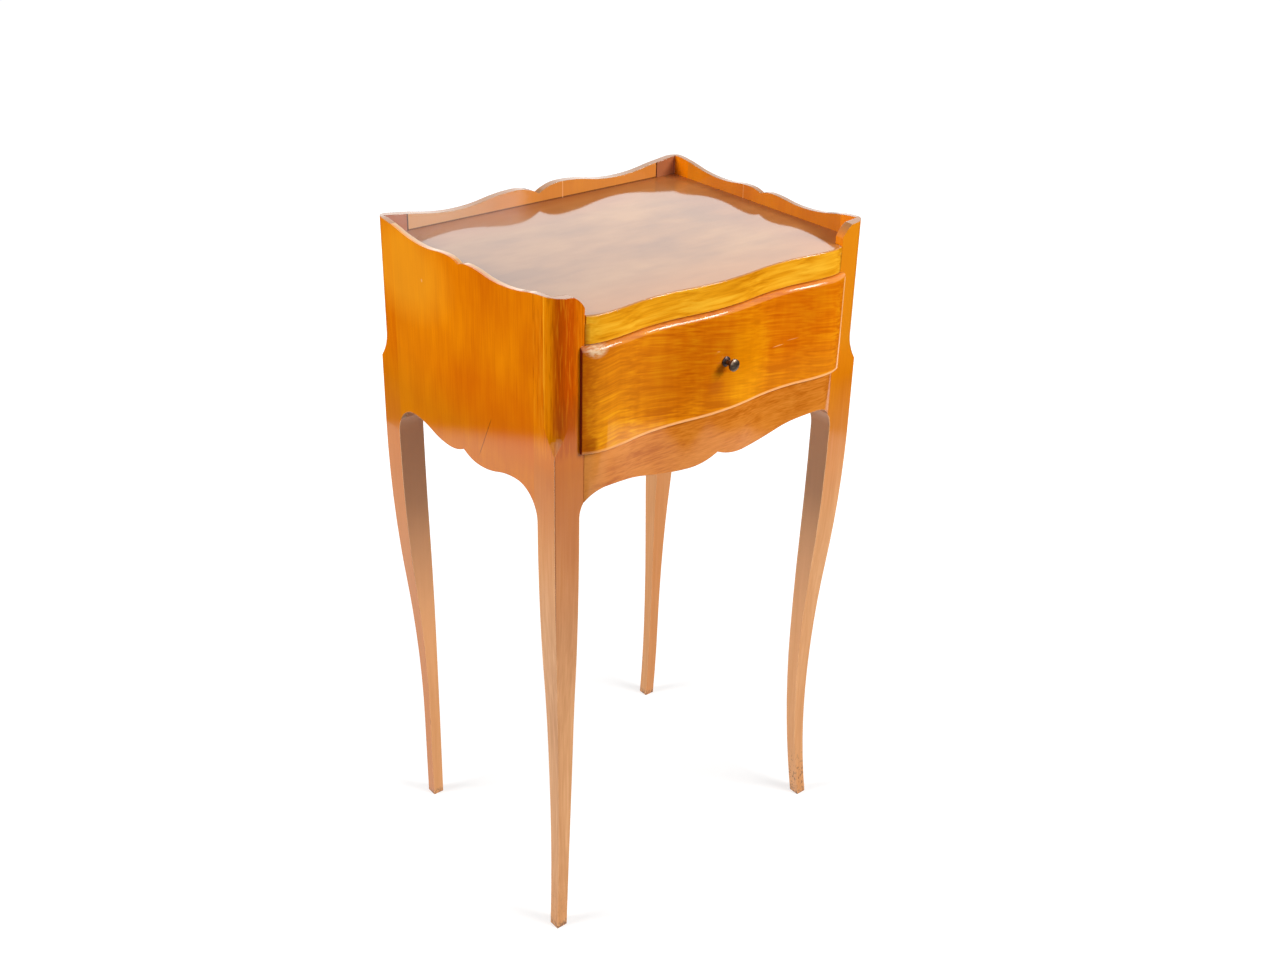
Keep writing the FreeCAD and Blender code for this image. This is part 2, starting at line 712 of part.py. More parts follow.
def make_carriers():
    """Cleats, kickers, runners and guides inside the carcass, with the screws that hold them."""
    tray_screws = []
    guide_screws = []
    blanks = []
    low_y = "middle - bay_half"
    high_y = "middle + bay_half"
    for side, x_sign in (("left", -1), ("right", 1)):
        near = f"{x_sign} * (opening_half - runner_reach)"
        post_line = f"{x_sign} * opening_half"
        far = f"{x_sign} * inside_half"
        kicker = block(f"kicker_{side}_blank", *span(near, far, x_sign), low_y, high_y,
                       "rail_under", "tray_under")
        runner = block(f"runner_{side}_blank", *span(near, far, x_sign), low_y, high_y,
                       "apron_top - runner_thickness", "apron_top")
        guide = block(f"guide_{side}_blank", *span(post_line, far, x_sign), low_y, high_y,
                      "apron_top", "apron_top + guide_height")
        blanks += [(f"kicker_{side}", kicker, "tray"), (f"drawer_runner_{side}", runner, "guide"),
                   (f"drawer_guide_{side}", guide, "guide")]
        for y_sign in (-1, 1):
            place = (f"{x_sign} * cleat_line", f"middle + {y_sign} * bay_half * screw_place_share")
            label = f"{side}_{'front' if y_sign < 0 else 'rear'}"
            tray_screws.append(screw(f"tray_screw_{label}", *place, "rail_under",
                                     "rail_height + screw_bite"))
            guide_screws.append(screw(f"guide_screw_{label}", *place, "apron_top + guide_height",
                                      "guide_height + screw_bite", downwards=True))
    cleat = block("back_cleat_blank", "-opening_half", "opening_half", "back - back_thickness - cleat_size",
                  "back - back_thickness", "tray_under - cleat_size", "tray_under")
    blanks.append(("back_cleat", cleat, "tray"))
    for x_sign in (-1, 1):
        label = "left" if x_sign < 0 else "right"
        tray_screws.append(screw(f"tray_screw_back_{label}", f"{x_sign} * opening_half * screw_place_share",
                                 "back - back_thickness - cleat_size / 2", "tray_under - cleat_size",
                                 "cleat_size + screw_bite"))
    groups = {"tray": grouped("tray_screws", tray_screws), "guide": grouped("guide_screws", guide_screws)}
    for name, blank, group in blanks:
        finished(cut(name, blank, groups[group]), name)
    drilled_tray = next(item for item in sub_parts if item.Label == "tray_top")
    drilled = cut("tray_top_drilled", drilled_tray, groups["tray"])
    sub_parts.remove(drilled_tray)
    drilled_tray.Label = "tray_top_board"
    finished(drilled, "tray_top")


def grouped(name, items):
    group = doc.addObject("Part::Compound", name)
    group.Links = items
    return finished(group, name)


def screw(name, x, y, z, length, downwards=False):
    """Countersunk screw with its head's face at the given point, driven up or down."""
    turn = FreeCAD.Rotation(Vector(1, 0, 0), 180 if downwards else 0)
    shank = doc.addObject("Part::Cylinder", f"{name}_shank")
    head = doc.addObject("Part::Cone", f"{name}_head")
    bind(shank, Radius="screw_radius", Height=length)
    bind(head, Radius1="screw_head_radius", Radius2="screw_radius", Height="screw_head_depth")
    for item in (shank, head):
        item.Placement = FreeCAD.Placement(Vector(), turn)
        bind(item, Placement__Base__x=x, Placement__Base__y=y, Placement__Base__z=z)
    return joined(name, [shank, head])


def tails():
    """Outlines of the dovetails at a drawer side's front end, seen from the side."""
    outlines = []
    for share in ("lower_tail_share", "upper_tail_share"):
        centre = f"apron_top + opening_height * {share}"
        outlines.append([
            ("drawer_shoulder", f"{centre} - tail_height / 2", "line"),
            ("drawer_shoulder", f"{centre} + tail_height / 2", "line"),
            ("drawer_shoulder - tail_length", f"{centre} + tail_height / 2 + tail_flare", "line"),
            ("drawer_shoulder - tail_length", f"{centre} - tail_height / 2 - tail_flare", "line"),
        ])
    return outlines


def make_drawer_front():
    """Bowed drawer front: top rounded over, lower edge eased, ends square, lips overlapping the posts."""
    body = new_body("drawer_front")
    face_edge = bow("lip_half", "front - lip_end_proud", "drawer_proud")
    rear = [("lip_half", "drawer_shoulder", "line"), ("-lip_half", "drawer_shoulder", "line")]
    board = pad(body, new_sketch(body, "XY_Plane", "drawer_low", face_edge + rear),
                "drawer_high - drawer_low")
    doc.recompute()
    under = top_front_edges(board.Shape, value("drawer_low"), value("front"))
    eased_board = fillet(body, board, under, "drawer_low_round")
    doc.recompute()
    over = top_front_edges(eased_board.Shape, value("drawer_high"), value("front"))
    rounded_board = fillet(body, eased_board, over, "drawer_edge_round")
    doc.recompute()
    eased = end_edges(rounded_board.Shape, value("lip_half"), value("front"))
    fillet(body, rounded_board, eased, "lip_ease")
    behind_lips = [
        rectangle("drawer_half", "lip_half + overrun", "front - lip_gap", "drawer_shoulder + overrun"),
        rectangle("-lip_half - overrun", "-drawer_half", "front - lip_gap", "drawer_shoulder + overrun"),
    ]
    pocket(body, new_sketch(body, "XY_Plane", "drawer_low - overrun", *behind_lips),
           "drawer_high - drawer_low + 2 * overrun")
    pocket(body, new_sketch(body, "YZ_Plane", "-drawer_half", *tails()), "drawer_wall")
    pocket(body, new_sketch(body, "YZ_Plane", "drawer_inside", *tails()), "drawer_wall")
    groove = rectangle("-drawer_inside - groove_depth", "drawer_inside + groove_depth",
                       "drawer_shoulder - groove_depth", "drawer_shoulder")
    pocket(body, new_sketch(body, "XY_Plane", "bottom_under", groove), "bottom_thickness")
    hole = new_sketch(body, "XZ_Plane", "-drawer_shoulder")
    ring = hole.addGeometry(Part.Circle(Vector(0, value("knob_height"), 0), Vector(0, 0, 1),
                                        value("stud_radius + stud_clearance")), False)
    hold(hole, "DistanceX", ring, 3, "0")
    hold(hole, "DistanceY", ring, 3, "knob_height")
    index = hole.addConstraint(Sketcher.Constraint("Radius", ring, value("stud_radius + stud_clearance")))
    hole.setExpression(f"Constraints[{index}]", formula("stud_radius + stud_clearance"))
    pocket(body, hole, "drawer_shoulder - face + overrun")


def make_drawer_side(side):
    x_low = "-drawer_half" if side == "left" else "drawer_inside"
    body = new_body(f"drawer_side_{side}")
    board = rectangle("drawer_shoulder", "drawer_rear", "apron_top", "drawer_side_top")
    pad(body, new_sketch(body, "YZ_Plane", x_low, board), "drawer_wall")
    pad(body, new_sketch(body, "YZ_Plane", x_low, *tails()), "drawer_wall")
    groove_low = "-drawer_inside - groove_depth" if side == "left" else "drawer_inside"
    groove = rectangle("drawer_shoulder", "drawer_rear", "bottom_under", "bottom_top")
    pocket(body, new_sketch(body, "YZ_Plane", groove_low, groove), "groove_depth")


def make_drawer_box():
    make_drawer_side("left")
    make_drawer_side("right")
    rear_board = block("drawer_back_blank", "-drawer_inside", "drawer_inside",
                       "drawer_rear - drawer_back_thickness", "drawer_rear",
                       "bottom_top", "drawer_side_top - drawer_back_drop")
    floor_board = block("drawer_bottom_blank", "-drawer_inside - groove_depth",
                        "drawer_inside + groove_depth", "drawer_shoulder - groove_depth",
                        "drawer_rear", "bottom_under", "bottom_top")
    nails = []
    for index, sign in enumerate((-1, 0, 1), start=1):
        shank = doc.addObject("Part::Cylinder", f"bottom_nail_{index}_shank")
        head = doc.addObject("Part::Cylinder", f"bottom_nail_{index}_head")
        bind(shank, Radius="nail_radius", Height="nail_length")
        bind(head, Radius="nail_head_radius", Height="nail_head_depth")
        for item, z in ((shank, "bottom_under"), (head, "bottom_under - nail_head_depth")):
            bind(item, Placement__Base__x=f"{sign} * drawer_inside * nail_place_share",
                 Placement__Base__y="drawer_rear - drawer_back_thickness / 2", Placement__Base__z=z)
        nails.append(joined(f"bottom_nail_{index}", [shank, head]))
    group = grouped("drawer_bottom_nails", nails)
    finished(cut("drawer_back", rear_board, group), "drawer_back")
    finished(cut("drawer_bottom", floor_board, group), "drawer_bottom")


def turned(name, points):
    """A piece turned about the knob's axis; its outline gives places along Y and radii."""
    body = new_body(name)
    sketch = new_sketch(body, "YZ_Plane", "0", points)
    bind(sketch, AttachmentOffset__Base__y="knob_height")
    feature = body.newObject("PartDesign::Revolution", f"{name}_turned")
    feature.Profile = sketch
    feature.ReferenceAxis = (sketch, ["H_Axis"])
    return body


def make_knob():
    """Mushroom knob with its own stud, a domed rose behind it and a square nut inside."""
    tip = "face - knob_length"
    turned("knob", [
        (tip, "0", ("beside", "0")),
        (f"{tip} + knob_dome", "knob_radius", "line"),
        (f"{tip} + knob_dome + knob_rim", "knob_radius", "line"),
        (f"{tip} + knob_head_depth", "knob_neck_radius", "line"),
        ("face - rose_thickness", "knob_neck_radius", "line"),
        ("face - rose_thickness", "stud_radius", "line"),
        ("drawer_shoulder + nut_thickness + stud_tail", "stud_radius", "line"),
        ("drawer_shoulder + nut_thickness + stud_tail", "0", "line"),
    ])
    turned("knob_rose", [
        ("face", "stud_radius + stud_clearance", "line"),
        ("face", "rose_radius", "line"),
        ("face - rose_rim", "rose_radius", ("beside", "0")),
        ("face - rose_thickness", "knob_neck_radius", "line"),
        ("face - rose_thickness", "stud_radius + stud_clearance", "line"),
    ])
    nut = block("knob_nut_blank", "-nut_width / 2", "nut_width / 2", "drawer_shoulder",
                "drawer_shoulder + nut_thickness", "knob_height - nut_width / 2",
                "knob_height + nut_width / 2")
    thread = doc.addObject("Part::Cylinder", "knob_nut_thread")
    thread.Placement = FreeCAD.Placement(Vector(), FreeCAD.Rotation(Vector(1, 0, 0), -90))
    bind(thread, Radius="stud_radius", Height="nut_thickness + 2 * overrun",
         Placement__Base__y="drawer_shoulder - overrun", Placement__Base__z="knob_height")
    finished(cut("knob_nut", nut, thread), "knob_nut")


def write_parts():
    """Check every object, then write each sub-part to its own file."""
    doc.recompute()
    for item in doc.Objects:
        if "Invalid" in item.State or "Error" in item.State:
            raise RuntimeError(f"{item.Name} failed: {item.State}")
    for item in sub_parts:
        if item.Shape.isNull() or not item.Shape.isValid():
            raise RuntimeError(f"{item.Label} has no valid shape")
    os.makedirs("parts", exist_ok=True)
    for item in sub_parts:
        item.Shape.exportStep(os.path.join("parts", f"{item.Label}.step"))


for leg_name, leg_x, leg_y in (("leg_front_left", -1, -1), ("leg_front_right", 1, -1),
                               ("leg_back_left", -1, 1), ("leg_back_right", 1, 1)):
    make_leg(leg_name, leg_x, leg_y)
make_side("left")
make_side("right")
make_back()
make_rail()
make_apron()
make_tray()
make_carriers()
make_drawer_front()
make_drawer_box()
make_knob()
write_parts()
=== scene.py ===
import functools
import math

import bpy
from mathutils import Matrix, Vector


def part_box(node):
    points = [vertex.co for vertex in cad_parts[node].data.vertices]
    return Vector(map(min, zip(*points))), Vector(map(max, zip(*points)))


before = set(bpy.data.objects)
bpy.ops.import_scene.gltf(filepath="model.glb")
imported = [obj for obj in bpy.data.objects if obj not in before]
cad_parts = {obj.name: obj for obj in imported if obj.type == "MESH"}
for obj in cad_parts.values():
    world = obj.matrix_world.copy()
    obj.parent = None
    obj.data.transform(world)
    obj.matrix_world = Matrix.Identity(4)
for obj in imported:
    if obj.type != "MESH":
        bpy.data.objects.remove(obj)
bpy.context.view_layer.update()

# A varnished cherry bedside table: finishes for its pieces, a white paper floor and soft studio light.

MM = 0.001
scene = bpy.context.scene
scene.view_settings.view_transform = "Standard"

# Places read from the frame, in metres.
post_low, post_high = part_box("leg_front_left")
back_post_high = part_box("leg_back_right")[1]
MIDDLE_Y = (post_low.y + back_post_high.y) / 2
FRONT = post_low.y
BACK = back_post_high.y
POST_INSIDE = -post_high.x
HALF_WIDTH = back_post_high.x
SIDE_JOINT = MIDDLE_Y - post_high.y
TRAY_UNDER, TRAY_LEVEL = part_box("tray_top")[0].z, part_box("tray_top")[1].z
APRON_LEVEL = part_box("front_apron")[1].z
drawer_low, drawer_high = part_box("drawer_front")

# Limits of soft masks, as inputs 1 and 2 of a MapRange node: a mask is 0 at the first, 1 at the second.
# Across the table, in metres of x.
LEFT_HALF = {1: 0.1, 2: -0.1}
RIGHT_HALF = {1: -0.1, 2: 0.1}
LEFT_LEGS = {1: 0.05, 2: 0.0}
RIGHT_LEGS = {1: 0.0, 2: 0.05}
BY_RIGHT_BOARD = {1: 0.1, 2: 0.12}
# From front to back, in metres of y.
FRONT_LEGS = {1: -0.05, 2: -0.08}
FRONT_HALF = {1: 0.05, 2: 0.0}
BACK_LEGS = {1: 0.0, 2: 0.05}
BY_BACK_BOARD = {1: 0.1, 2: 0.12}
# Up the table, in metres of z.
SKIRT = {1: APRON_LEVEL + 30 * MM, 2: APRON_LEVEL - 20 * MM}
ABOVE_JOINTS_END = {1: APRON_LEVEL - 70 * MM, 2: APRON_LEVEL - 69 * MM}
# Which way a face looks: left or to the front by the x or y of its normal, upwards by its z.
SQUARE_ON = {1: -0.4, 2: -0.8}
FRONT_FACE = {1: -0.5, 2: -0.85}
UPWARDS = {1: 0.5, 2: 0.85}
# How far a rounded normal turns from the true one, as a cosine.
ARRIS_TURN = {1: 0.99, 2: 0.86}

# Half the width of a joint, and the part of a mark's reach that has its full colour.
JOINT_HALF = 1.6 * MM
MARK_CORE = 0.45

# Varnish and wood: index of refraction, and how rough the varnish is.
WOOD_IOR = 1.45
HIGH_GLOSS = 0.06
CLOUDY_GLOSS = 0.08

# Settings of a node that lays one colour over another, and of one that goes between two directions.
OVER = {"out": 2, "data_type": "RGBA"}
BETWEEN = {"out": 1, "data_type": "VECTOR"}

# Cherry figure, in layers: size across the grain in millimetres, run along it, weight.
# Real fibres are a tenth of a millimetre wide; they are drawn at 1.4 mm so that they show.
BOARD_FIGURE = {"grain": "z", "seed": 2.7,
                "layers": [(70, 1.5, 0.42), (26, 2.5, 0.26), (7, 14, 0.12), (1.4, 30, 0.2)]}
RAIL_FIGURE = {"grain": "x", "seed": 4.1, "layers": [(40, 3, 0.35), (5, 18, 0.45), (1.4, 30, 0.2)]}

# Colours that come back on more than one piece or place.
AMBER = [(0.37, "#D26800"), (0.63, "#EE8A02"), (0.5, "#E07800")]
GOLD = [(0.38, "#C67804"), (0.62, "#F2B42E"), (0.5, "#E49A16")]
PALE_GOLD = "#F4A828"
SKIRT_BROWN = "#B86A08"
TOP_SHADE_BROWN = "#8A6232"
DARK_LINE = "#6A3008"
CHIPPED = "#5C3E2C"
GLUE = "#E8B078"
SCRATCHED = "#F8C080"

# The left side's golden patch, which goes on from the side board to the back post.
SIDE_GOLD = {"centre": (-200, 115, 700), "reach": (60, 100, 60), "amount": 0.4, "hex_code": PALE_GOLD}

# The hairline crack in the left side: its rise for each millimetre towards the front.
CRACK_RISE = 2.1

# Marks on the drawer front lie at this y and reach through its thickness, in millimetres.
DRAWER_Y = -150
THROUGH = 300


def colour(hex_code):
    """sRGB hex to linear: c / 12.92 below 0.04045, else ((c + 0.055) / 1.055) ** 2.4."""
    parts = [int(hex_code[i:i + 2], 16) / 255 for i in (1, 3, 5)]
    return tuple(c / 12.92 if c < 0.04045 else ((c + 0.055) / 1.055) ** 2.4 for c in parts) + (1.0,)


def add_node(tree, kind, inputs=None, out=0, stops=(), **settings):
    """Add a node: settings are its properties, inputs its sockets, each a value or a link.

    Stops are the places and hex colours of a ramp; the output asked for comes back."""
    made = tree.nodes.new("ShaderNode" + kind)
    for name, value in settings.items():
        setattr(made, name, value)
    for name, value in (inputs or {}).items():
        if isinstance(value, bpy.types.NodeSocket):
            tree.links.new(value, made.inputs[name])
        else:
            made.inputs[name].default_value = value
    for index, (place, hex_code) in enumerate(stops):
        elements = made.color_ramp.elements
        element = elements[index] if index < 2 else elements.new(place)
        element.position, element.color = place, colour(hex_code)
    return made.outputs[out] if made.outputs else None


def new_material(name):
    """A material with an empty node tree, and the function that adds a node to it."""
    material = bpy.data.materials.new(name)
    material.use_nodes = True
    material.node_tree.nodes.clear()
    return material, functools.partial(add_node, material.node_tree)


def where(add):
    """Where a point lies on the table: its place, then the x, y and z of it, in metres."""
    place = add("TexCoord", out="Object")
    return [place] + [add("SeparateXYZ", {0: place}, axis) for axis in range(3)]


def looks(add):
    """Which way a face looks: the x, y and z of its normal."""
    normal = add("NewGeometry", out="Normal")
    return [add("SeparateXYZ", {0: normal}, axis) for axis in range(3)]


def figure(add, place, grain, seed, layers):
    """Wood figure: patches of each size in millimetres, drawn out along the grain and added by weight."""
    value = 0.0
    for size, run, weight in layers:
        drawn = Vector((1, 1, 1))
        drawn["xyz".index(grain)] = 1 / run
        point = add("Mapping", {0: place, 1: (seed, seed * 0.7, -seed), 3: drawn})
        patch = add("TexNoise", {"Vector": point, "Scale": 1 / (size * MM), "Detail": 2.0})
        value = add("Math", {0: patch, 1: weight, 2: value}, operation="MULTIPLY_ADD")
    return value


def mark(add, place, centre, reach, amount, ground, hex_code):
    """Colour laid over the ground in an oval; its centre and reach are in millimetres."""
    offset = add("VectorMath", {0: place, 1: Vector(centre) * MM}, operation="SUBTRACT")
    ratio = add("VectorMath", {0: offset, 1: Vector(reach) * MM}, operation="DIVIDE")
    away = add("VectorMath", {0: ratio}, "Value", operation="LENGTH")
    factor = add("MapRange", {0: away, 1: 1.0, 2: MARK_CORE, 4: amount})
    return add("Mix", {0: factor, 6: ground, 7: colour(hex_code)}, **OVER)


def arrises(add, reach, flush):
    """Softened arrises: the rounded normal, and a factor that is 1 along each sharp edge.

    Flush is 1 in joints where two pieces lie in one face, so that no arris shows there."""
    true = add("NewGeometry", out="Normal")
    soft = add("Bevel", {"Radius": reach}, samples=6)
    soft = add("Mix", {0: flush, 4: soft, 5: true}, **BETWEEN)
    turn = add("VectorMath", {0: soft, 1: true}, "Value", operation="DOT_PRODUCT")
    return soft, add("MapRange", {0: turn, **ARRIS_TURN})


def post_joints(add, x, y, z):
    """1 beside the posts' upright joints with the side boards, the rail and the apron."""
    along = add("Math", {0: add("Math", {0: y, 1: MIDDLE_Y}, operation="SUBTRACT")}, operation="ABSOLUTE")
    side = add("Math", {0: along, 1: SIDE_JOINT, 2: JOINT_HALF}, operation="COMPARE")
    across = add("Math", {0: x}, operation="ABSOLUTE")
    front = add("Math", {0: across, 1: POST_INSIDE, 2: JOINT_HALF}, operation="COMPARE")
    joint = add("Math", {0: side, 1: front}, operation="MAXIMUM")
    return add("MapRange", {0: z, **ABOVE_JOINTS_END, 4: joint})


def background_ray(add):
    """1 on a ray that shows the white background: from the camera, off a shine or through a clear thing."""
    shown = add("LightPath", out="Is Camera Ray")
    for kind in ("Is Glossy Ray", "Is Transmission Ray"):
        shown = add("Math", {0: shown, 1: add("LightPath", out=kind)}, operation="MAXIMUM")
    return shown


def varnish(add, ground, normal, gloss):
    """Clear varnish over a ground colour; the wood under it has no shine of its own."""
    shader = add("BsdfPrincipled", {
        "Base Color": ground, "Roughness": 0.45, "IOR": WOOD_IOR, "Specular IOR Level": 0.0, "Normal": normal,
        "Coat Weight": 1.0, "Coat Roughness": gloss, "Coat IOR": WOOD_IOR, "Coat Normal": normal})
    add("OutputMaterial", {0: shader})


def board_finish():
    """Side and back boards: amber cherry in soft upright clouds, a painted pale reflection along the
    gallery's top.
    """
    material, add = new_material("varnished_cherry_boards")
    place, x, y, z = where(add)
    look_x, look_y, look_z = looks(add)
    ground = add("ValToRGB", {0: figure(add, place, **BOARD_FIGURE)}, stops=AMBER)
    golden = add("MapRange", {0: y, 1: 0.04, 2: 0.15, 4: 0.3})
    ground = add("Mix", {0: golden, 6: ground, 7: colour("#F29C10")}, **OVER)
    low = add("MapRange", {0: z, **SKIRT, 4: 0.4})
    ground = add("Mix", {0: low, 6: ground, 7: colour(SKIRT_BROWN)}, **OVER)
    # The left side is gold towards its top and back, red towards the near post's foot.
    ground = mark(add, place, ground=ground, **SIDE_GOLD)
    ground = mark(add, place, (-200, -55, 605), (60, 120, 55), 0.4, ground, "#CC5800")
    # Inside the gallery the boards are browner, most of all the back board's left end round a pale patch,
    # which is a painted reflection.
    back = add("MapRange", {0: look_y, **SQUARE_ON, 4: add("MapRange", {0: y, **BY_BACK_BOARD})})
    brown = add("MapRange", {0: x, 1: -0.02, 2: -0.1, 3: 0.52, 4: 0.85})
    brown = add("MapRange", {0: back, 4: brown})
    ground = add("Mix", {0: brown, 6: ground, 7: colour("#A87848")}, **OVER)
    ground = mark(add, place, (-150, 152, 730), (110, 9, 45), 0.35, ground, "#E0B890")
    inside = add("MapRange", {0: x, **BY_RIGHT_BOARD, 4: 0.5})
    inside = add("MapRange", {0: look_x, **SQUARE_ON, 4: inside})
    ground = add("Mix", {0: inside, 6: ground, 7: colour("#B46A1C")}, **OVER)
    # The tray's joint with the back board is a dark line, glue joints above it are pale ones.
    seam = add("Math", {0: z, 1: TRAY_LEVEL, 2: 1.2 * MM}, operation="COMPARE")
    seam = add("MapRange", {0: seam, 4: add("MapRange", {0: back, 4: 0.8})})
    ground = add("Mix", {0: seam, 6: ground, 7: colour("#5A2C10")}, **OVER)
    glue = add("Math", {0: x, 1: 31.6 * MM, 2: 0.6 * MM}, operation="COMPARE")
    glue = add("MapRange", {0: glue, 4: add("MapRange", {0: back, 4: 0.6})})
    ground = add("Mix", {0: glue, 6: ground, 7: colour(GLUE)}, **OVER)
    glue = add("Math", {0: y, 1: MIDDLE_Y + 27 * MM, 2: 0.5 * MM}, operation="COMPARE")
    glue = add("MapRange", {0: x, 1: 0.19, 2: 0.195, 4: add("MapRange", {0: glue, 4: 0.5})})
    ground = add("Mix", {0: glue, 6: ground, 7: colour(GLUE)}, **OVER)
    # A hairline crack climbs the left side above its skirt: z = 589 - 2.1 (y + 50) in millimetres, with
    # y from the carcass's middle. A small pale chip lies higher up.
    along = add("Math", {0: y, 1: CRACK_RISE, 2: z}, operation="MULTIPLY_ADD")
    crack_line = CRACK_RISE * (MIDDLE_Y - 50 * MM) + 589 * MM
    crack = add("Math", {0: along, 1: crack_line, 2: 1.4 * MM}, operation="COMPARE")
    crack = add("MapRange", {0: z, 1: 541 * MM, 2: 548 * MM, 4: add("MapRange", {0: crack, 4: 0.55})})
    crack = add("MapRange", {0: z, 1: 592 * MM, 2: 586 * MM, 4: crack})
    crack = add("MapRange", {0: x, 1: -0.195, 2: -0.199, 4: crack})
    ground = add("Mix", {0: crack, 6: ground, 7: colour(DARK_LINE)}, **OVER)
    ground = mark(add, place, (-200, MIDDLE_Y / MM + 66, 697), (9, 1.8, 2.2), 0.5, ground, "#F4C488")
    # Arrises are worn pale along the skirt and the gallery.
    normal, edge = arrises(add, 0.7 * MM, post_joints(add, x, y, z))
    rim = add("MapRange", {0: z, 1: APRON_LEVEL, 2: APRON_LEVEL - 20 * MM, 4: 0.35})
    rim = add("MapRange", {0: z, 1: TRAY_LEVEL - 40 * MM, 2: TRAY_LEVEL, 3: rim, 4: 0.3})
    rim = add("MapRange", {0: edge, 4: rim})
    ground = add("Mix", {0: rim, 6: ground, 7: colour("#E2B384")}, **OVER)
    # Painted reflection: the gallery's top is pale on the left, but for its outer two millimetres; painted
    # shade darkens it elsewhere.
    top = add("MapRange", {0: look_z, **UPWARDS})
    top_shade = add("MapRange", {0: x, 1: -0.19, 2: -0.17, 4: 0.75})
    top_shade = add("MapRange", {0: top, 4: top_shade})
    ground = add("Mix", {0: top_shade, 6: ground, 7: colour(TOP_SHADE_BROWN)}, **OVER)
    top_reflection = add("MapRange", {0: x, 1: -0.17, 2: -0.19, 4: 0.7})
    top_reflection = add("MapRange", {0: x, 1: -HALF_WIDTH + 1.6 * MM, 2: -HALF_WIDTH + 2.8 * MM, 4: top_reflection})
    top_reflection = add("MapRange", {0: top, 4: top_reflection})
    ground = add("Mix", {0: top_reflection, 6: ground, 7: colour("#D2AE78")}, **OVER)
    varnish(add, ground, normal, HIGH_GLOSS)
    return material


